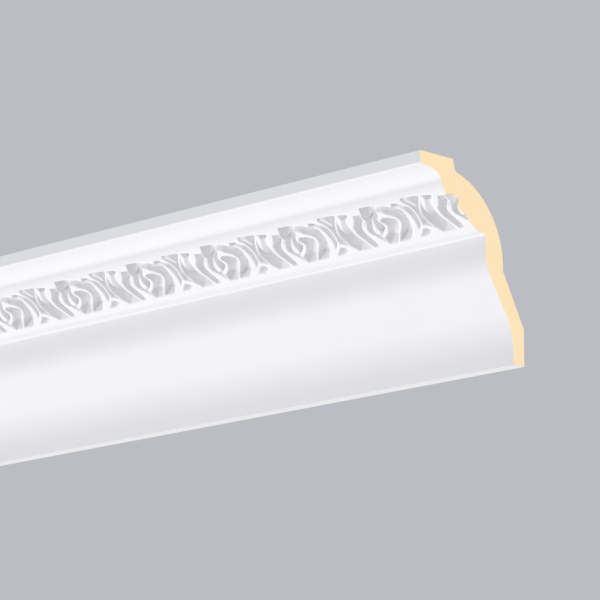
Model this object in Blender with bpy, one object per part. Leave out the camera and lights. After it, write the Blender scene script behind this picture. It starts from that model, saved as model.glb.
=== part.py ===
# Cornice moulding: one straight length of white-primed rigid polyurethane foam, with a running
# leaf-and-shell ornament. It is glued into the corner between a wall and a ceiling.
#
# Frame, in metres: +X runs along the length, +Y goes into the wall, +Z is up. The origin is the
# centre of the face that is glued to the wall. The section is drawn as a carpenter would dimension
# it: how far out from the wall a point stands, and how far down from the ceiling.
import math

import bmesh
import bpy
import numpy as np

MM = 0.001

# The whole moulding
DROP = 130 * MM                  # down the wall
PROJECTION = 100 * MM            # out along the ceiling
REPEAT = 77.6 * MM               # one repeat of the ornament
REPEATS = 8
LENGTH = REPEAT * REPEATS
WALL_FACE = 26 * MM              # height of the glued face on the wall
CEILING_FACE = 31.7 * MM         # depth of the glued face on the ceiling

# Front of the section, from the ceiling down
FILLET = 8 * MM                  # flat nose under the ceiling
QUIRK_IN = 3 * MM                # small step between the nose and the cove
QUIRK_DOWN = 1 * MM
COVE_IN = 17.6 * MM              # half axes of the hollow
COVE_DOWN = 8.6 * MM
ROLL_IN = 4.2 * MM               # rounded roll from the hollow down to the lip of the band
ROLL_DOWN = 7.4 * MM
ROLL_BOW = 0.7 * MM              # how far it stands off its own chord
BAND_IN = 29.7 * MM              # the sloping band that carries the ornament
BAND_DOWN = 19.6 * MM
SOFFIT_IN = 7.5 * MM             # narrow ledge under the band
SOFFIT_DOWN = 0.7 * MM
SOFFIT_ROUND = 1 * MM
RISER = 12 * MM                  # upright face below the ledge
OGEE_SLOPE = math.radians(33)    # the double curve down to the foot
OGEE_BULGE = 30 * MM             # its upper radius
OGEE_FLAT = 25.2 * MM            # straight run between the two radii
OGEE_HOLLOW = 49 * MM            # its lower radius

# Back of the section, from the wall up
BACK_EASE = (1.5 * MM, 2 * MM)   # eased edge above the glued face, out and up
BACK_WAIST = (20 * MM, 68 * MM)  # end of the straight slope, out and down
BACK_NOTCH = (64.8 * MM, 8.6 * MM)
BACK_BOW = 13.4 * MM             # how far the round back stands off its own chord
NOTCH_EASE = (1.9 * MM, 1.7 * MM)

# Fineness
COVE_STEPS = 12
ROLL_STEPS = 8
OGEE_STEPS = 8
BACK_STEPS = 14
CARVE_STEP = 1.2 * MM            # mesh step of the carved band, before it is thinned
TRIANGLES = 9600                 # of the whole solid, once thinned

# Ornament, all in millimetres: u runs along the repeat and s down the band from the lip of the
# cove. A depth is taken square to the band, down into the foam.
FLOOR_TOP = 7.6                  # greatest depth of the channels under the lip
FLOOR_FOOT = 6.4                 # and at the foot of the band
LEFT_SLOPE = 6.0                 # a ridge falls away steeply on its left side and past its ends
LEDGE_SLOPE = 1.4                # steepness of the recess under the lip
END_SLOPE = 2.0                  # the channels end steeply at the foot of the band
BAND_END = 30.6
LIP = 0.6                        # where the recess starts between two scallops
SCALLOP_SIDE = 0.8               # run of a scallop's steep left side
SCALLOP_FADE = 2.5               # how suddenly its edge comes down again on the right
BLEND = 0.35                     # softness of the inner corners

# Scallops cut up into the roll: where each starts and ends, and how high it cuts
SCALLOPS = ((0.2, 27.6, 4.6), (28.2, 36.5, 2.6), (38, 72, 4.6))

# Ridges left standing between the channels. For each: the points (u, s) that it passes through,
# its half widths and the depths of its crest, both spread evenly from start to end, and the
# steepness of its right side.
RIDGES = {
    "shell wall": (((-3.6, -6), (-3, 0), (-2.4, 6.4)), (0.4, 0.4), (0, 0.4), 1.6),
    "shell rim": (((-2.4, 6.4), (-5.2, 10), (-7.4, 14), (-7.2, 18.6), (-5.2, 23), (-2, 31)),
                  (1.0, 2.0, 2.1, 2.0, 2.9, 4.6), (1.4, 0.3, 0, 0, 0, 0), 1.6),
    "shell brow": (((-4.6, 5), (-2.6, 8.6)), (2.4, 1.6), (3.2, 2.8), 0.7),
    "shell foot": (((-4.5, 21.5), (-1, 25.5), (0.4, 31)), (1.6, 2.6, 2.8), (1.6, 0.8, 0), 1.8),
    "tongue": (((3.6, 7.8), (1.8, 11.8), (0.4, 15.8), (0.2, 19)),
               (0.6, 1.3, 2.2, 2.5), (1.8, 1.0, 0.6, 0.8), 3.0),
    "trunk": (((14, 4.4), (16.3, 5.6)), (2.4, 2.9), (0, 0), 3.0),
    "trunk head": (((27, 6), (21, 3.8), (17, 2.1), (12.4, 1.5)),
                   (0.8, 0.8, 0.6, 0.5), (4.6, 3, 1.0, 0.1), 0.8),
    "curl": (((12.6, 5.8), (9.2, 9.8), (11.4, 14.4), (8.2, 19), (2.8, 23), (-2.6, 26.4)),
             (1.8, 0.9, 1.5, 1.4, 1.3, 1.8), (0, 0, 0, 0.2, 0.8, 1.8), 2.4),
    "hook": (((18.6, 6.6), (24.6, 10.8), (23.6, 16.4), (16.4, 24.2), (11.2, 31)),
             (1.7, 1.2, 1.0, 0.8), (0, 0), 3.0),
    "broad arc": (((29.4, 2.8), (34.2, 5.8), (35.3, 11.5), (34.2, 18), (31, 24.4), (23.7, 31.5)),
                  (0.5, 1.4, 2.2, 2.4, 2.4, 1.8), (1.6, 0.4, 0, 0, 0, 0), 2.0),
    "thin arc": (((37, -0.6), (41.2, 3.2), (42.5, 9), (41, 16.5), (38.8, 22), (28.8, 31)),
                 (1.6, 1.0, 0.8, 0.8, 1.2, 1.1), (0, 0), 1.8),
    "fork": (((39.4, 22.4), (43, 23.9), (46.6, 27), (49.6, 31.5)), (1.7, 1.9, 2.6, 2.9), (0, 0), 1.8),
    "foot leaf": (((46.6, 28.2), (42.4, 29.8), (38.2, 31.4)), (1.4, 1.3, 1.0), (0, 0), 1.5),
    "crest leaf": (((39.6, -1.8), (43, 0.2), (45.4, 4.6)), (0.8, 1.3, 1.2), (1.6, 1.4, 1.4), 2.0),
    "leaf rib": (((54.8, -1.8), (50, 4.2), (46.3, 11.5), (45.9, 18), (50.2, 31)),
                 (1.0, 1.0, 0.8, 0.6, 0.6), (1, 0.5, 0.3, 0.4, 0.4), 3.0),
    "leaf vein": (((56.8, 0), (53.2, 5), (49.6, 11), (48.2, 17), (49, 24)),
                  (1.4, 1.3, 0.9, 0.6, 0.5), (0.3, 0.6, 2, 4.2, 7), 0.9),
    "leaf edge": (((68.8, -1), (66.1, 2), (62.8, 5.4), (60.8, 9.4), (60.4, 16), (62.2, 22), (65.5, 31)),
                  (1.5, 2.6, 3.3, 2.0, 1.4, 1.2, 1.1), (0, 0), 2.0),
}


def bowed(start, finish, bow, steps):
    """Points of the arc from start to finish that stands off its chord by `bow`."""
    start, finish = np.array(start), np.array(finish)
    chord = finish - start
    span = np.linalg.norm(chord)
    radius = (span * span / 4 + bow * bow) / (2 * bow)
    half = math.asin(span / 2 / radius)
    along = chord / span
    off = np.array((along[1], -along[0]))
    middle = (start + finish) / 2 - off * (radius - bow)
    turns = [half * (2 * step / steps - 1) for step in range(steps + 1)]
    return [tuple(middle + radius * (along * math.sin(turn) + off * math.cos(turn))) for turn in turns]


def front_top():
    """Nose, step, cove and roll, as (out, down), from the ceiling to the lip over the band."""
    points = [(PROJECTION, 0), (PROJECTION, FILLET)]
    top = FILLET + QUIRK_DOWN
    for step in range(COVE_STEPS):
        turn = math.pi / 2 * step / COVE_STEPS
        points.append((PROJECTION - QUIRK_IN - COVE_IN * math.sin(turn),
                       top + COVE_DOWN * (1 - math.cos(turn))))
    roll_top = (LIP_OUT + ROLL_IN, LIP_DOWN - ROLL_DOWN)
    return points + bowed(roll_top, (LIP_OUT, LIP_DOWN), ROLL_BOW, ROLL_STEPS)[:-1]


LIP_OUT = PROJECTION - QUIRK_IN - COVE_IN - ROLL_IN
LIP_DOWN = FILLET + QUIRK_DOWN + COVE_DOWN + ROLL_DOWN
BAND_LENGTH = math.hypot(BAND_IN, BAND_DOWN)
BAND_ROWS = round(BAND_LENGTH / CARVE_STEP)


def band():
    """The plain sloping band, from the lip to its lower edge."""
    return [(LIP_OUT - BAND_IN * row / BAND_ROWS, LIP_DOWN + BAND_DOWN * row / BAND_ROWS)
            for row in range(BAND_ROWS + 1)]


def front_bottom():
    """Ledge, riser, double curve and foot, from under the band to the wall."""
    out = LIP_OUT - BAND_IN - SOFFIT_IN
    down = LIP_DOWN + BAND_DOWN + SOFFIT_DOWN
    points = [(out, down)]
    out -= SOFFIT_ROUND
    down += SOFFIT_ROUND
    points.append((out, down))
    down += RISER
    for step in range(OGEE_STEPS + 1):
        turn = OGEE_SLOPE * step / OGEE_STEPS
        points.append((out - OGEE_BULGE * (1 - math.cos(turn)), down + OGEE_BULGE * math.sin(turn)))
    out, down = points[-1]
    out -= OGEE_FLAT * math.sin(OGEE_SLOPE) + OGEE_HOLLOW * (1 - math.cos(OGEE_SLOPE))
    down += OGEE_FLAT * math.cos(OGEE_SLOPE) + OGEE_HOLLOW * math.sin(OGEE_SLOPE)
    for step in range(OGEE_STEPS, -1, -1):
        turn = OGEE_SLOPE * step / OGEE_STEPS
        points.append((out + OGEE_HOLLOW * (1 - math.cos(turn)), down - OGEE_HOLLOW * math.sin(turn)))
    points.append((out, DROP))
    return points


def back():
    """Wall face, straight slope, round back and notch, from the bottom to the ceiling."""
    glued = DROP - WALL_FACE
    points = [(0, DROP), (0, glued), (BACK_EASE[0], glued - BACK_EASE[1])]
    points += bowed(BACK_WAIST, BACK_NOTCH, BACK_BOW, BACK_STEPS)
    points.append((BACK_NOTCH[0] + NOTCH_EASE[0], BACK_NOTCH[1] - NOTCH_EASE[1]))
    points.append((PROJECTION - CEILING_FACE, 0))
    return points


# The carving is a depth below the plane of the band. The roll over it is carved too, so every
# point of the section near the lip is also known by its place (s, depth) on that plane.
BAND_TURN = math.atan2(BAND_DOWN, BAND_IN)


def on_band(out, down):
    """Place down the band and depth below its plane, in metres, of a point of the section."""
    back_in, lower = LIP_OUT - out, down - LIP_DOWN
    return (back_in * math.cos(BAND_TURN) + lower * math.sin(BAND_TURN),
            back_in * math.sin(BAND_TURN) - lower * math.cos(BAND_TURN))


def smooth_curve(points, steps=12):
    """Points along a smooth curve that passes through the given ones."""
    points = np.array(points)
    before_first, after_last = 2 * points[0] - points[1], 2 * points[-1] - points[-2]
    path = [before_first, *points, after_last]
    curve = []
    for before, start, finish, after in zip(path, path[1:], path[2:], path[3:]):
        for t in np.linspace(0, 1, steps, endpoint=False):
            curve.append(0.5 * (2 * start + (finish - before) * t
                                + (2 * before - 5 * start + 4 * finish - after) * t ** 2
                                + (3 * start - before - 3 * finish + after) * t ** 3))
    return np.array(curve + [points[-1]])


def smooth_least(a, b):
    """The smaller of two depths, with the corner between them eased."""
    mix = np.clip(0.5 + 0.5 * (b - a) / BLEND, 0, 1)
    return b + (a - b) * mix - BLEND * mix * (1 - mix)


def ridge_depth(u, s, points, widths, crests, right_slope):
    """Depth of a ridge and of its sides, which go on down without a floor."""
    curve = smooth_curve(points)
    part = np.linspace(0, 1, len(curve) - 1)
    best = np.full(u.shape, np.inf)
    place = np.zeros(u.shape)
    slope = np.full(u.shape, LEFT_SLOPE)
    for start, finish, along in zip(curve, curve[1:], part):
        run = finish - start
        right, down = u - start[0], s - start[1]
        t = np.clip((right * run[0] + down * run[1]) / run.dot(run), 0, 1)
        away = np.hypot(right - t * run[0], down - t * run[1])
        nearer = away < best
        past_end = ((t == 0) & (along == 0)) | ((t == 1) & (along == 1))
        on_right = (run[1] * right > run[0] * down) & ~past_end
        best = np.where(nearer, away, best)
        place = np.where(nearer, along, place)
        slope = np.where(nearer, np.where(on_right, right_slope, LEFT_SLOPE), slope)
    half_width = np.interp(place, np.linspace(0, 1, len(widths)), widths)
    crest = np.interp(place, np.linspace(0, 1, len(crests)), crests)
    return crest + slope * np.maximum(best - half_width, 0)


def lip_place(u):
    """How far down the band the recess starts, with the scallops that cut up into the roll."""
    first = SCALLOPS[0][0]
    u = np.mod(u - first, REPEAT / MM) + first
    lip = np.full(u.shape, LIP)
    for start, finish, rise in SCALLOPS:
        x = np.clip((u - start) / (finish - start), 0, 1)
        cut = rise * (1 - x ** SCALLOP_FADE) * np.clip((u - start) / SCALLOP_SIDE, 0, 1)
        lip = np.where((u >= start) & (u < finish), LIP - cut, lip)
    return lip


COVE_PLACES = np.array([on_band(out, down) for out, down in front_top()[COVE_STEPS // 2:]] + [(0, 0)]) / MM


def relief(x, s):
    """Depth of the carving, in millimetres, at x along the moulding and s down the band."""
    repeat = REPEAT / MM
    u = np.mod(x, repeat)
    depth = FLOOR_TOP + (FLOOR_FOOT - FLOOR_TOP) * s / BAND_END
    for ridge in RIDGES.values():
        for shift in (-repeat, 0, repeat):
            depth = np.minimum(depth, ridge_depth(u + shift, s, *ridge))
    lip = lip_place(u)
    ledge = np.interp(lip, COVE_PLACES[:, 0], COVE_PLACES[:, 1]) + LEDGE_SLOPE * (s - lip)
    depth = smooth_least(depth, np.maximum(ledge, 0))
    return smooth_least(depth, np.maximum(END_SLOPE * (BAND_END - s), 0))


CEILING = DROP - WALL_FACE / 2   # height of the ceiling above the origin
CARVED_FROM = -7 * MM            # the stretch of the section that the carving can reach
CARVED_UNDER = 6 * MM


def plain_body():
    """The section drawn out to the full length, before carving."""
    ring = front_top() + band() + front_bottom() + back()
    bm = bmesh.new()
    section = bm.faces.new([bm.verts.new((-LENGTH / 2, -out, CEILING - down)) for out, down in ring])
    drawn = bmesh.ops.extrude_face_region(bm, geom=[section])["geom"]
    drawn = [part for part in drawn if isinstance(part, bmesh.types.BMVert)]
    bmesh.ops.translate(bm, verts=drawn, vec=(LENGTH, 0, 0))
    bmesh.ops.recalc_face_normals(bm, faces=bm.faces)
    return bm


def carve(bm):
    """Divide the band and the roll along the length, and sink the channels into them."""
    def place(vert):
        return on_band(-vert.co.y, CEILING - vert.co.z)

    def can_be_carved(vert):
        s, depth = place(vert)
        return CARVED_FROM < s < BAND_LENGTH + MM / 2 and depth < CARVED_UNDER

    lines = [edge for edge in bm.edges
             if all(can_be_carved(vert) for vert in edge.verts) and edge.calc_length() > LENGTH / 2]
    bmesh.ops.subdivide_edges(bm, edges=lines, cuts=round(LENGTH / CARVE_STEP) - 1)
    verts = [vert for vert in bm.verts if can_be_carved(vert)]
    places = np.array([place(vert) for vert in verts]) / MM
    along = np.array([vert.co.x + LENGTH / 2 for vert in verts]) / MM
    sunk = np.maximum(relief(along, places[:, 0]) - places[:, 1], 0) * MM
    into_foam = np.array((0, math.sin(BAND_TURN), math.cos(BAND_TURN)))
    for vert, by in zip(verts, sunk):
        vert.co += type(vert.co)(into_foam * by)


def material(name, colour, roughness):
    """A plain non-metal finish; the colour is linear."""
    made = bpy.data.materials.new(name)
    made.use_nodes = True
    shader = made.node_tree.nodes["Principled BSDF"]
    shader.inputs["Base Color"].default_value = (*colour, 1)
    shader.inputs["Roughness"].default_value = roughness
    shader.inputs["Metallic"].default_value = 0
    return made


def cornice_moulding(collection):
    bm = plain_body()
    carve(bm)
    bmesh.ops.triangulate(bm, faces=bm.faces)
    between_ends = [vert.index for vert in bm.verts if abs(vert.co.x) < LENGTH / 2 - 0.1 * MM]
    count = len(bm.faces)
    mesh = bpy.data.meshes.new("cornice_moulding")
    bm.to_mesh(mesh)
    bm.free()
    mesh.materials.append(material("primed polyurethane foam", (0.86, 0.86, 0.87), 0.6))
    moulding = bpy.data.objects.new("cornice_moulding", mesh)
    collection.objects.link(moulding)
    carving = moulding.vertex_groups.new(name="carving")
    carving.add(between_ends, 1, "REPLACE")
    thin = moulding.modifiers.new("thin the carving", "DECIMATE")
    thin.ratio = TRIANGLES / count
    thin.vertex_group = carving.name
    thin.vertex_group_factor = 10
    print("cornice_moulding:", count, "triangles before thinning")


for old in list(bpy.data.objects):
    bpy.data.objects.remove(old, do_unlink=True)
parts = bpy.data.collections.new("cornice moulding")
bpy.context.scene.collection.children.link(parts)
cornice_moulding(parts)
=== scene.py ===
# %% [markdown]
# # Cornice moulding
#
# One straight length of white-primed polyurethane cornice, cut square at both ends. A running
# leaf-and-shell ornament fills its sloping band. The CAD solid carries the true size and form; this
# script builds the same form again with a finer carved band, gives it its finishes and lights it to
# match the photo: by a bright room, and mostly from the left.
#
# ## Start with sizes and two small helpers
#
# Every size below is in millimetres, as a joiner would write it on a drawing of the section, and
# `MM` turns it into metres. Keeping sizes in one place means that a change is made once and the
# whole shape follows.

# %%
import math

import bpy
import numpy as np
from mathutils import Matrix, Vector


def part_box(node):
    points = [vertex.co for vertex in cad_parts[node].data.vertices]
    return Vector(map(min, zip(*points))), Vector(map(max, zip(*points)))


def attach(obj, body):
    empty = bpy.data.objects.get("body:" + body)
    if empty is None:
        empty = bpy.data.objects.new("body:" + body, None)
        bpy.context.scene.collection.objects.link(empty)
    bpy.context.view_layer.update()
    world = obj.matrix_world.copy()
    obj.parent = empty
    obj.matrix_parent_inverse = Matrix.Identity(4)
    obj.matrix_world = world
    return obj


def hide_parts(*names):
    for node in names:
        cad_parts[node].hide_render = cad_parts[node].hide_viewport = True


MM = 0.001

DROP = 130                      # down the wall
PROJECTION = 100                # out along the ceiling
REPEAT = 77.6                   # one repeat of the ornament
REPEATS = 8
WALL_FACE = 26
CEILING_FACE = 31.7
CEILING = DROP - WALL_FACE / 2  # height of the ceiling above the origin


def colour(text):
    """A colour from its hex text, as the linear values that Blender works with."""
    parts = [int(text[start:start + 2], 16) / 255 for start in (1, 3, 5)]
    return tuple(c / 12.92 if c <= 0.04045 else ((c + 0.055) / 1.055) ** 2.4 for c in parts) + (1,)


def add(tree, kind, values=None, **settings):
    """Adds a shader node, sets its options and the inputs named in `values`."""
    node = tree.nodes.new(kind)
    for name, value in settings.items():
        setattr(node, name, value)
    for name, value in (values or {}).items():
        node.inputs[name].default_value = value
    return node


# %% [markdown]
# ## Load the frame
#
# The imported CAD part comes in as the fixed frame. Its box tells us that the origin is the middle of
# the face glued to the wall, X runs along the moulding, Y goes into the wall and Z is up.

# %%
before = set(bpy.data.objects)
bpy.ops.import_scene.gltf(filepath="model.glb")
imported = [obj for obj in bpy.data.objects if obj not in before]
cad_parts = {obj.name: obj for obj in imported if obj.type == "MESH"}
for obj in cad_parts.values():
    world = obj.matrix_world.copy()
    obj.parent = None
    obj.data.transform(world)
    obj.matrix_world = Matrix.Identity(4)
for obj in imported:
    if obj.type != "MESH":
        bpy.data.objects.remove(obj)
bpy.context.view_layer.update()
low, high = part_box("cornice_moulding")
print("CAD box in mm:", [round(v * 1000, 1) for v in (*low, *high)])

# %% [markdown]
# ## The section, point by point
#
# A moulding is one outline drawn out to a length, so the outline is all we need. Points are
# (out from the wall, down from the ceiling). Curves come from a few sizes: the cove is a quarter of
# an ellipse, the roll and the back are arcs given by how far they bow off their chord, and the
# lower front is an ogee made of two arcs that meet in a straight run.

# %%
FILLET, QUIRK_IN, QUIRK_DOWN = 8, 3, 1                  # flat nose, and the small step under it
COVE_IN, COVE_DOWN, COVE_STEPS = 17.6, 8.6, 20          # half axes of the hollow
ROLL_IN, ROLL_DOWN, ROLL_BOW, ROLL_STEPS = 4.2, 7.4, 0.7, 12
BAND_IN, BAND_DOWN, BAND_STEPS = 29.7, 19.6, 72         # the sloping band with the ornament
SOFFIT_IN, SOFFIT_DOWN, SOFFIT_ROUND, RISER = 7.5, 0.7, 1, 12
OGEE_SLOPE, OGEE_STEPS = math.radians(33), 14           # the double curve down to the foot
OGEE_BULGE, OGEE_FLAT, OGEE_HOLLOW = 30, 25.2, 49       # radius, straight run, radius
BACK_EASE, BACK_WAIST, BACK_NOTCH, NOTCH_EASE = (1.5, 2), (20, 68), (64.8, 8.6), (1.9, 1.7)
BACK_BOW, BACK_STEPS = 13.4, 24
LIP = np.array((PROJECTION - QUIRK_IN - COVE_IN - ROLL_IN, FILLET + QUIRK_DOWN + COVE_DOWN + ROLL_DOWN))


def bowed(start, finish, bow, steps):
    """Points of the arc from start to finish that stands off its chord by `bow`."""
    start, finish = np.array(start), np.array(finish)
    span = np.linalg.norm(finish - start)
    along = (finish - start) / span
    off = np.array((along[1], -along[0]))
    radius = (span * span / 4 + bow * bow) / (2 * bow)
    middle = (start + finish) / 2 - off * (radius - bow)
    turns = math.asin(span / 2 / radius) * np.linspace(-1, 1, steps + 1)
    return [middle + radius * (along * math.sin(turn) + off * math.cos(turn)) for turn in turns]


def front_top():
    """Nose, step, cove and roll, down to the lip over the band."""
    points = [(PROJECTION, 0), (PROJECTION, FILLET)]
    for turn in np.linspace(0, math.pi / 2, COVE_STEPS, endpoint=False):
        points.append((PROJECTION - QUIRK_IN - COVE_IN * math.sin(turn),
                       FILLET + QUIRK_DOWN + COVE_DOWN * (1 - math.cos(turn))))
    return points + bowed(LIP + (ROLL_IN, -ROLL_DOWN), LIP, ROLL_BOW, ROLL_STEPS)[:-1]


def band():
    """The sloping band that will be carved."""
    return [LIP + np.array((-BAND_IN, BAND_DOWN)) * step / BAND_STEPS for step in range(BAND_STEPS + 1)]


def front_bottom():
    """Ledge, riser, ogee and foot, down to the wall."""
    out, down = LIP + (-BAND_IN - SOFFIT_IN, BAND_DOWN + SOFFIT_DOWN)
    points = [(out, down), (out - SOFFIT_ROUND, down + SOFFIT_ROUND)]
    out, down = out - SOFFIT_ROUND, down + SOFFIT_ROUND + RISER
    for turn in OGEE_SLOPE * np.linspace(0, 1, OGEE_STEPS + 1):
        points.append((out - OGEE_BULGE * (1 - math.cos(turn)), down + OGEE_BULGE * math.sin(turn)))
    out, down = points[-1]
    out -= OGEE_FLAT * math.sin(OGEE_SLOPE) + OGEE_HOLLOW * (1 - math.cos(OGEE_SLOPE))
    down += OGEE_FLAT * math.cos(OGEE_SLOPE) + OGEE_HOLLOW * math.sin(OGEE_SLOPE)
    for turn in OGEE_SLOPE * np.linspace(1, 0, OGEE_STEPS + 1):
        points.append((out + OGEE_HOLLOW * (1 - math.cos(turn)), down - OGEE_HOLLOW * math.sin(turn)))
    return points + [(out, DROP)]


def back():
    """Glued face, slope, round back and notch, up to the ceiling."""
    glued = DROP - WALL_FACE
    points = [(0, DROP), (0, glued), (BACK_EASE[0], glued - BACK_EASE[1])]
    points += bowed(BACK_WAIST, BACK_NOTCH, BACK_BOW, BACK_STEPS)
    points.append((BACK_NOTCH[0] + NOTCH_EASE[0], BACK_NOTCH[1] - NOTCH_EASE[1]))
    return points + [(PROJECTION - CEILING_FACE, 0)]


painted = [np.array(point, float) for point in front_top() + band() + front_bottom()]
unpainted = [np.array(point, float) for point in back()]
outline = painted + unpainted
print(len(outline), "points around the section,", len(painted), "of them on the painted front")

# %% [markdown]
# ## The ornament as a height field
#
# The carving is a depth below the plane of the band. It is described the way a carver thinks of
# it: ridges left standing, each a smooth curve with a width, a crest depth and a side that falls
# away, and channels cut down between them. The depth anywhere is the least of the depths that the
# ridges allow. Under the roll, scallops cut up into the lip.

# %%
FLOOR_TOP, FLOOR_FOOT = 7.6, 6.4       # greatest depth under the lip and at the foot of the band
LEFT_SLOPE, LEDGE_SLOPE, END_SLOPE = 6.0, 1.4, 2.0
BAND_END, RECESS, SCALLOP_SIDE, SCALLOP_FADE, BLEND = 30.6, 0.6, 0.8, 2.5, 0.35
SCALLOPS = ((0.2, 27.6, 4.6), (28.2, 36.5, 2.6), (38, 72, 4.6))   # start, end, height

# For each ridge: points (along, down), half widths, crest depths, steepness of its right side
RIDGES = {
    "shell wall": (((-3.6, -6), (-3, 0), (-2.4, 6.4)), (0.4, 0.4), (0, 0.4), 1.6),
    "shell rim": (((-2.4, 6.4), (-5.2, 10), (-7.4, 14), (-7.2, 18.6), (-5.2, 23), (-2, 31)),
                  (1.0, 2.0, 2.1, 2.0, 2.9, 4.6), (1.4, 0.3, 0, 0, 0, 0), 1.6),
    "shell brow": (((-4.6, 5), (-2.6, 8.6)), (2.4, 1.6), (3.2, 2.8), 0.7),
    "shell foot": (((-4.5, 21.5), (-1, 25.5), (0.4, 31)), (1.6, 2.6, 2.8), (1.6, 0.8, 0), 1.8),
    "tongue": (((3.6, 7.8), (1.8, 11.8), (0.4, 15.8), (0.2, 19)),
               (0.6, 1.3, 2.2, 2.5), (1.8, 1.0, 0.6, 0.8), 3.0),
    "trunk": (((14, 4.4), (16.3, 5.6)), (2.4, 2.9), (0, 0), 3.0),
    "trunk head": (((27, 6), (21, 3.8), (17, 2.1), (12.4, 1.5)),
                   (0.8, 0.8, 0.6, 0.5), (4.6, 3, 1.0, 0.1), 0.8),
    "curl": (((12.6, 5.8), (9.2, 9.8), (11.4, 14.4), (8.2, 19), (2.8, 23), (-2.6, 26.4)),
             (1.8, 0.9, 1.5, 1.4, 1.3, 1.8), (0, 0, 0, 0.2, 0.8, 1.8), 2.4),
    "hook": (((18.6, 6.6), (24.6, 10.8), (23.6, 16.4), (16.4, 24.2), (11.2, 31)),
             (1.7, 1.2, 1.0, 0.8), (0, 0), 3.0),
    "broad arc": (((29.4, 2.8), (34.2, 5.8), (35.3, 11.5), (34.2, 18), (31, 24.4), (23.7, 31.5)),
                  (0.5, 1.4, 2.2, 2.4, 2.4, 1.8), (1.6, 0.4, 0, 0, 0, 0), 2.0),
    "thin arc": (((37, -0.6), (41.2, 3.2), (42.5, 9), (41, 16.5), (38.8, 22), (28.8, 31)),
                 (1.6, 1.0, 0.8, 0.8, 1.2, 1.1), (0, 0), 1.8),
    "fork": (((39.4, 22.4), (43, 23.9), (46.6, 27), (49.6, 31.5)), (1.7, 1.9, 2.6, 2.9), (0, 0), 1.8),
    "foot leaf": (((46.6, 28.2), (42.4, 29.8), (38.2, 31.4)), (1.4, 1.3, 1.0), (0, 0), 1.5),
    "crest leaf": (((39.6, -1.8), (43, 0.2), (45.4, 4.6)), (0.8, 1.3, 1.2), (1.6, 1.4, 1.4), 2.0),
    "leaf rib": (((54.8, -1.8), (50, 4.2), (46.3, 11.5), (45.9, 18), (50.2, 31)),
                 (1.0, 1.0, 0.8, 0.6, 0.6), (1, 0.5, 0.3, 0.4, 0.4), 3.0),
    "leaf vein": (((56.8, 0), (53.2, 5), (49.6, 11), (48.2, 17), (49, 24)),
                  (1.4, 1.3, 0.9, 0.6, 0.5), (0.3, 0.6, 2, 4.2, 7), 0.9),
    "leaf edge": (((68.8, -1), (66.1, 2), (62.8, 5.4), (60.8, 9.4), (60.4, 16), (62.2, 22), (65.5, 31)),
                  (1.5, 2.6, 3.3, 2.0, 1.4, 1.2, 1.1), (0, 0), 2.0),
}
BAND_TURN = math.atan2(BAND_DOWN, BAND_IN)
DOWN_BAND = np.array((-math.cos(BAND_TURN), math.sin(BAND_TURN)))   # in (out, down)
INTO_BAND = np.array((-math.sin(BAND_TURN), -math.cos(BAND_TURN)))


def on_band(point):
    """Place down the band and depth below its plane of a point of the section."""
    return (point - LIP) @ DOWN_BAND, (point - LIP) @ INTO_BAND


def smooth_curve(points, steps=12):
    """Points along a smooth curve through the given ones."""
    points = np.array(points)
    path = [2 * points[0] - points[1], *points, 2 * points[-1] - points[-2]]
    curve = []
    for before, start, finish, after in zip(path, path[1:], path[2:], path[3:]):
        for t in np.linspace(0, 1, steps, endpoint=False):
            curve.append(0.5 * (2 * start + (finish - before) * t
                                + (2 * before - 5 * start + 4 * finish - after) * t ** 2
                                + (3 * start - before - 3 * finish + after) * t ** 3))
    return np.array(curve + [points[-1]])


def smooth_least(a, b):
    """The smaller of two depths, with the corner between them eased."""
    mix = np.clip(0.5 + 0.5 * (b - a) / BLEND, 0, 1)
    return b + (a - b) * mix - BLEND * mix * (1 - mix)


def ridge_depth(u, s, points, widths, crests, right_slope):
    """Depth of a ridge and of its sides, which go on down without a floor."""
    curve = smooth_curve(points)
    best, place, slope = np.full(u.shape, np.inf), np.zeros(u.shape), np.full(u.shape, LEFT_SLOPE)
    for start, finish, along in zip(curve, curve[1:], np.linspace(0, 1, len(curve) - 1)):
        run = finish - start
        right, down = u - start[0], s - start[1]
        t = np.clip((right * run[0] + down * run[1]) / run.dot(run), 0, 1)
        away = np.hypot(right - t * run[0], down - t * run[1])
        past_end = ((t == 0) & (along == 0)) | ((t == 1) & (along == 1))
        on_right = (run[1] * right > run[0] * down) & ~past_end
        nearer = away < best
        best = np.where(nearer, away, best)
        place = np.where(nearer, along, place)
        slope = np.where(nearer, np.where(on_right, right_slope, LEFT_SLOPE), slope)
    half_width = np.interp(place, np.linspace(0, 1, len(widths)), widths)
    crest = np.interp(place, np.linspace(0, 1, len(crests)), crests)
    return crest + slope * np.maximum(best - half_width, 0)


def lip_place(u):
    """How far down the band the recess starts, with the scallops that cut up into the roll."""
    u = np.mod(u - SCALLOPS[0][0], REPEAT) + SCALLOPS[0][0]
    lip = np.full(u.shape, RECESS)
    for start, finish, height in SCALLOPS:
        x = np.clip((u - start) / (finish - start), 0, 1)
        cut = height * (1 - x ** SCALLOP_FADE) * np.clip((u - start) / SCALLOP_SIDE, 0, 1)
        lip = np.where((u >= start) & (u < finish), RECESS - cut, lip)
    return lip


LAST_OF_ROLL = 2 + COVE_STEPS + ROLL_STEPS
NEAR_LIP = np.array([on_band(point) for point in painted[COVE_STEPS // 2:LAST_OF_ROLL]] + [(0, 0)])


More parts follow.
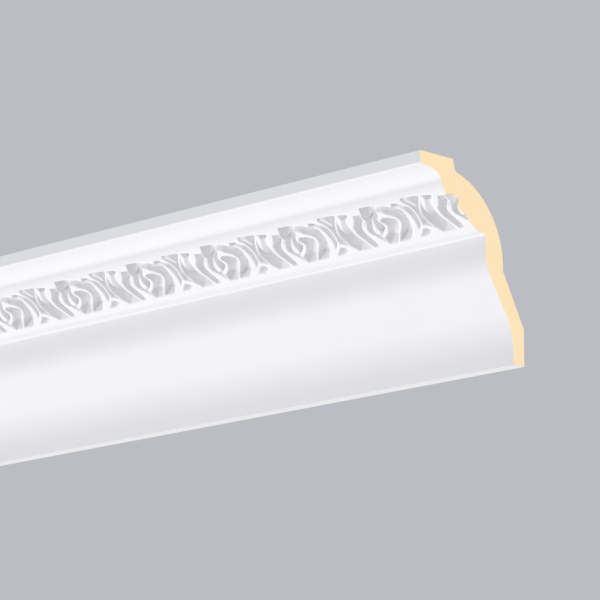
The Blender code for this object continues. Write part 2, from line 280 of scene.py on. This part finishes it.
def relief(u, s):
    """Depth of the carving at u along the repeat and s down the band."""
    depth = FLOOR_TOP + (FLOOR_FOOT - FLOOR_TOP) * s / BAND_END
    for ridge in RIDGES.values():
        for shift in (-REPEAT, 0, REPEAT):
            depth = np.minimum(depth, ridge_depth(u + shift, s, *ridge))
    lip = lip_place(u)
    ledge = np.interp(lip, NEAR_LIP[:, 0], NEAR_LIP[:, 1]) + LEDGE_SLOPE * (s - lip)
    depth = smooth_least(depth, np.maximum(ledge, 0))
    return smooth_least(depth, np.maximum(END_SLOPE * (BAND_END - s), 0))


print(len(RIDGES), "ridges and", len(SCALLOPS), "scallops in each repeat of", REPEAT, "mm")

# %% [markdown]
# ## Model one repeat, then copy it along
#
# A cylinder already has one vertex per point at each end, so it is a quick start for a drawn-out
# section: its rings are moved onto the outline, and its end faces are dropped. Only the band is
# divided along its length, because only the band is carved. Modelling a single repeat keeps the
# work small and makes every repeat exactly the same, as a mould would.

# %%
COLUMN_CUTS = (11, 12)          # two rounds of cuts make 12 x 13 = 156 columns in a repeat
CARVED_FROM, CARVED_TO = -7, 31.6       # the stretch that can be carved, measured down the band
CARVED_UNDER = 6                # and how far behind the band's plane it may lie
TINY = 0.1                      # a distance that counts as none
PAINTED, SAWN, BACK = 0, 1, 2   # numbers of the finishes, which come later

bpy.ops.object.select_all(action="DESELECT")
bpy.ops.mesh.primitive_cylinder_add(vertices=len(outline), end_fill_type="NOTHING")
moulding = bpy.context.object
moulding.name = "moulding"
mesh = moulding.data
for vertex in mesh.vertices:
    out, down = outline[vertex.index // 2]
    x = REPEAT if vertex.co.z > 0 else 0
    vertex.co = (x * MM, -out * MM, (CEILING - down) * MM)
for face in mesh.polygons:
    behind = {vertex // 2 for vertex in face.vertices} & set(range(len(painted), len(outline)))
    over_ceiling = {vertex // 2 for vertex in face.vertices} == {0, len(outline) - 1}
    face.material_index = BACK if len(behind) == 2 or over_ceiling else PAINTED


def coordinates():
    """Every vertex of the mesh, in millimetres."""
    flat = np.empty(len(mesh.vertices) * 3)
    mesh.vertices.foreach_get("co", flat)
    return flat.reshape(-1, 3) / MM


def can_be_carved(points):
    """Which vertices lie on the band or the roll, and where: place down the band, depth below it."""
    s, depth = on_band(np.stack([-points[:, 1], CEILING - points[:, 2]], -1))
    return (s > CARVED_FROM) & (s < CARVED_TO) & (depth < CARVED_UNDER), s, depth


bpy.context.tool_settings.mesh_select_mode = (False, True, False)
for cuts in COLUMN_CUTS:
    points = coordinates()
    can, s, depth = can_be_carved(points)
    ends = np.array([edge.vertices[:] for edge in mesh.edges])
    lengthwise = abs(points[ends[:, 0], 0] - points[ends[:, 1], 0]) > TINY
    mesh.vertices.foreach_set("select", np.zeros(len(mesh.vertices), bool))
    mesh.polygons.foreach_set("select", np.zeros(len(mesh.polygons), bool))
    mesh.edges.foreach_set("select", lengthwise & can[ends].all(1))
    bpy.ops.object.mode_set(mode="EDIT")
    bpy.ops.mesh.subdivide(number_cuts=cuts)
    bpy.ops.object.mode_set(mode="OBJECT")
print("one repeat:", len(mesh.vertices), "vertices")

# %% [markdown]
# ## Carve it
#
# Each vertex of the band is pushed straight into the foam, square to the band, by the depth that
# the height field gives there. Moving vertices in code is the one job here that no menu command
# does.

# %%
points = coordinates()
can, s, depth = can_be_carved(points)
sunk = np.zeros(len(points))
sunk[can] = np.maximum(relief(points[can, 0], s[can]) - depth[can], 0)
into_foam = Vector((0, math.sin(BAND_TURN), math.cos(BAND_TURN)))
soft = moulding.vertex_groups.new(name="carving")
soft.add(np.flatnonzero(can).tolist(), 1, "REPLACE")
for vertex, by in zip(mesh.vertices, sunk):
    vertex.co += into_foam * float(by) * MM
print("deepest cut:", round(float(sunk.max()), 1), "mm")

# %% [markdown]
# ## Eight repeats, soft edges and square ends
#
# An array modifier copies the repeat and welds the joints. A smooth modifier, kept to the carving,
# takes the tool-sharp edge off the ridges: a moulded part with paint on it has no knife edges. Then
# each open end is filled with one face, which is the saw cut.

# %%
WELD = 0.02                     # vertices nearer than this are joined
SOFTNESS, SOFTEN_TIMES = 0.5, 2

row = moulding.modifiers.new("eight repeats", "ARRAY")
row.count = REPEATS
row.use_relative_offset = False
row.use_constant_offset = True
row.constant_offset_displace = (REPEAT * MM, 0, 0)
row.use_merge_vertices = True
row.merge_threshold = WELD * MM
bpy.ops.object.modifier_apply(modifier=row.name)
mesh = moulding.data
length = REPEAT * REPEATS * MM
for vertex in mesh.vertices:
    vertex.co.x -= length / 2
at_ends = [vertex.index for vertex in mesh.vertices if abs(vertex.co.x) > length / 2 - TINY * MM]
ease = moulding.modifiers.new("soften the carving", "SMOOTH")
ease.factor, ease.iterations, ease.vertex_group = SOFTNESS, SOFTEN_TIMES, "carving"
bpy.ops.object.modifier_apply(modifier=ease.name)
for index in at_ends:           # softening pulls the ends in a little, so they are set square again
    mesh.vertices[index].co.x = math.copysign(length / 2, mesh.vertices[index].co.x)
moulding.vertex_groups["carving"].remove(at_ends)

bpy.context.tool_settings.mesh_select_mode = (True, False, False)
for side in (-1, 1):
    for part in (*mesh.edges, *mesh.polygons):
        part.select = False
    for vertex in mesh.vertices:
        vertex.select = abs(vertex.co.x - side * length / 2) < TINY * MM
    bpy.ops.object.mode_set(mode="EDIT")
    bpy.ops.mesh.edge_face_add()
    bpy.ops.object.mode_set(mode="OBJECT")
    mesh.polygons[-1].material_index = SAWN
print(sum(len(face.vertices) - 2 for face in mesh.polygons), "triangles in the whole length")

# %% [markdown]
# ## Crisp corners, smooth curves
#
# The paint follows the form, so curves shade smoothly and only real corners stay crisp: the nose,
# the small steps and the rims of the saw cuts. Normals are made to point out of the foam first.

# %%
CRISP = math.radians(28)

bpy.ops.object.mode_set(mode="EDIT")
bpy.ops.mesh.select_all(action="SELECT")
bpy.ops.mesh.normals_make_consistent(inside=False)
bpy.ops.mesh.select_all(action="DESELECT")
bpy.ops.mesh.select_mode(type="EDGE")
bpy.ops.mesh.edges_select_sharp(sharpness=CRISP)
bpy.ops.object.mode_set(mode="OBJECT")
mesh.shade_smooth()
group = moulding.vertex_groups["carving"].index
carving = {vertex.index for vertex in mesh.vertices if any(g.group == group for g in vertex.groups)}
for edge in mesh.edges:
    edge.use_edge_sharp = edge.select and not any(i in carving for i in edge.vertices)
print(sum(edge.use_edge_sharp for edge in mesh.edges), "crisp edges")

# %% [markdown]
# ## Finish 1: white primer
#
# These mouldings leave the factory sprayed with a matt white primer. It is nearly even: a faint
# drift of tone a few centimetres wide, and a grain so fine that it only takes the shine off. All
# pattern sizes are in millimetres, from the object's own coordinates, so the grain stays put
# wherever the moulding goes.

# %%
def millimetres(tree):
    """Object coordinates, in millimetres."""
    place = add(tree, "ShaderNodeTexCoord")
    scale = add(tree, "ShaderNodeVectorMath", operation="SCALE")
    scale.inputs["Scale"].default_value = 1000
    tree.links.new(place.outputs["Object"], scale.inputs[0])
    return scale.outputs[0]


def new_material(name):
    made = bpy.data.materials.new(name)
    made.use_nodes = True
    tree = made.node_tree
    return made, tree, tree.nodes["Principled BSDF"]


def noise(tree, place, size, detail=2):
    """A noise whose blotches are about `size` millimetres across."""
    node = add(tree, "ShaderNodeTexNoise", {"Scale": 1 / size, "Detail": detail})
    tree.links.new(place, node.inputs["Vector"])
    return node.outputs["Fac"]


def blend_colours(tree, factor, first, second):
    node = add(tree, "ShaderNodeMix", data_type="RGBA")
    node.inputs[6].default_value = colour(first)
    node.inputs[7].default_value = colour(second)
    tree.links.new(factor, node.inputs[0])
    return node.outputs[2]


def bump(tree, shader, height, depth, strength=1):
    """Roughens the surface by `depth` millimetres."""
    node = add(tree, "ShaderNodeBump", {"Strength": strength, "Distance": depth * MM})
    tree.links.new(height, node.inputs["Height"])
    tree.links.new(node.outputs["Normal"], shader.inputs["Normal"])


PRIMER = "#EEECED"

primer, tree, shader = new_material("white primer on foam")
place = millimetres(tree)
white = blend_colours(tree, noise(tree, place, 40), PRIMER, "#F1EFF0")
tree.links.new(white, shader.inputs["Base Color"])
shader.inputs["Roughness"].default_value = 0.6
bump(tree, shader, noise(tree, place, 0.5, 3), 0.02, 0.4)

# %% [markdown]
# ## Finish 2: the foam itself
#
# The saw cut shows rigid polyurethane foam: cream, with cells of about a third of a millimetre that
# the saw has opened. The unpainted back is the same cream, but it is a moulded skin, so it is
# smoother, and the spray gun has reached a little way round its edges.

# %%
CELL = 0.35                     # size of a cell of the foam
SPRAY_REACH, NOSE_REACH = 7, 10         # how far the primer reaches round the foot and the nose
MIST = 1.2                      # how thickly it lies there

cut_foam, tree, shader = new_material("cut polyurethane foam")
place = millimetres(tree)
cream = blend_colours(tree, noise(tree, place, 6, 4), "#F3D8A9", "#F7DFB7")
tree.links.new(cream, shader.inputs["Base Color"])
shader.inputs["Roughness"].default_value = 0.95
cells = add(tree, "ShaderNodeTexVoronoi", {"Scale": 1 / CELL})
tree.links.new(place, cells.inputs["Vector"])
bump(tree, shader, cells.outputs["Distance"], 0.12, 0.5)

back_foam, tree, shader = new_material("foam skin on the back")
place = millimetres(tree)
cream = blend_colours(tree, noise(tree, place, 12, 4), "#EBCB95", "#F3D9A9")
part = add(tree, "ShaderNodeSeparateXYZ")
tree.links.new(place, part.inputs[0])
from_foot = add(tree, "ShaderNodeMapRange",
                {"From Min": -WALL_FACE / 2, "From Max": SPRAY_REACH - WALL_FACE / 2,
                 "To Min": 1.0, "To Max": 0.0})
tree.links.new(part.outputs["Z"], from_foot.inputs["Value"])
from_nose = add(tree, "ShaderNodeMapRange",
                {"From Min": -PROJECTION, "From Max": NOSE_REACH - PROJECTION,
                 "To Min": 1.0, "To Max": 0.0})
tree.links.new(part.outputs["Y"], from_nose.inputs["Value"])
reach = add(tree, "ShaderNodeMath", operation="MAXIMUM")
tree.links.new(from_foot.outputs[0], reach.inputs[0])
tree.links.new(from_nose.outputs[0], reach.inputs[1])
mist = add(tree, "ShaderNodeMath", operation="MULTIPLY", use_clamp=True)
mist.inputs[1].default_value = MIST
tree.links.new(noise(tree, place, 3, 4), mist.inputs[0])
sprayed = add(tree, "ShaderNodeMath", operation="MULTIPLY", use_clamp=True)
tree.links.new(mist.outputs[0], sprayed.inputs[0])
tree.links.new(reach.outputs[0], sprayed.inputs[1])
over = add(tree, "ShaderNodeMix", data_type="RGBA")
over.inputs[7].default_value = colour(PRIMER)
tree.links.new(sprayed.outputs[0], over.inputs[0])
tree.links.new(cream, over.inputs[6])
tree.links.new(over.outputs[2], shader.inputs["Base Color"])
shader.inputs["Roughness"].default_value = 0.75
bump(tree, shader, noise(tree, place, 1.2, 4), 0.08, 0.5)

# %% [markdown]
# ## Put the finishes on
#
# The painted front and the back were told apart when the cylinder was given its outline, and the two
# saw cuts when they were filled, so the finishes only have to be added in that order.

# %%
for finish in (primer, cut_foam, back_foam):
    mesh.materials.append(finish)
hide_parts("cornice_moulding")
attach(moulding, "root")
counts = np.bincount([face.material_index for face in mesh.polygons])
print("faces painted, sawn and on the back:", counts.tolist())

# %% [markdown]
# ## Camera
#
# The photo was taken from the room, below and to the right, with a long lens, so the moulding runs
# away up to the left hardly shrinking. The camera looks along the 45 degree line between the wall
# and the moulding, tipped up 12.7 degrees. Its place and lens were worked out from the edges of the
# section in the photo.

# %%
LOOK_ROUND, LOOK_UP = math.radians(45), math.radians(12.70)
CAMERA_FROM_END = Vector((1481.1, -1691.83, -473.05)) * MM    # from the middle of the sawn end
LENS = 206.85

camera_data = bpy.data.cameras.new("camera")
camera_data.lens, camera_data.sensor_width, camera_data.clip_end = LENS, 36, 50
camera = bpy.data.objects.new("camera", camera_data)
bpy.context.scene.collection.objects.link(camera)
camera.location = CAMERA_FROM_END + Vector((length / 2, 0, 0))
camera.rotation_euler = (math.pi / 2 + LOOK_UP, 0, LOOK_ROUND)
bpy.context.scene.camera = camera

# %% [markdown]
# ## Light
#
# A white room lights white paint from everywhere, so the world gives an even light. What models the
# carving comes from the left: a soft window, and two gentler lights along the moulding, which hardly
# change the plain surfaces but catch one side of every ridge. One more soft sun reaches the sawn end
# and the back. The camera sees a plain grey wall instead of the bright room.

# %%
ROOM_LEVEL, ROOM_COLOUR = 0.55, "#F4FCFF"
SUN_COLOUR = (1, 0.95, 0.955)   # a little warmer than the room
SUNS = {                        # direction of the light, strength, width in degrees
    "along the moulding": ((-1, 0, 0), 0.8, 50),
    "from below, along the moulding": ((-1, 0, -1), 0.85, 50),
    "window on the left": ((-1, -1, -1), 1.42, 50),
    "light on the sawn end": ((0.8, 0.45, 0.4), 2.3, 30),
}
BACKDROP = "#BBBDC3"

world = bpy.data.worlds.new("white room")
bpy.context.scene.world = world
world.use_nodes = True
tree = world.node_tree
room = tree.nodes["Background"]
room.inputs["Color"].default_value = colour(ROOM_COLOUR)
room.inputs["Strength"].default_value = ROOM_LEVEL
plain = add(tree, "ShaderNodeBackground", {"Color": colour(BACKDROP)})
seen = add(tree, "ShaderNodeLightPath")
choose = add(tree, "ShaderNodeMixShader")
tree.links.new(seen.outputs["Is Camera Ray"], choose.inputs[0])
tree.links.new(room.outputs[0], choose.inputs[1])
tree.links.new(plain.outputs[0], choose.inputs[2])
tree.links.new(choose.outputs[0], tree.nodes["World Output"].inputs["Surface"])

for name, (toward, strength, width) in SUNS.items():
    light = bpy.data.lights.new(name, "SUN")
    light.energy, light.angle, light.color = strength, math.radians(width), SUN_COLOUR
    lamp = bpy.data.objects.new(name, light)
    lamp.rotation_euler = (-Vector(toward)).to_track_quat("-Z", "Y").to_euler()
    bpy.context.scene.collection.objects.link(lamp)
bpy.context.scene.view_settings.view_transform = "Standard"
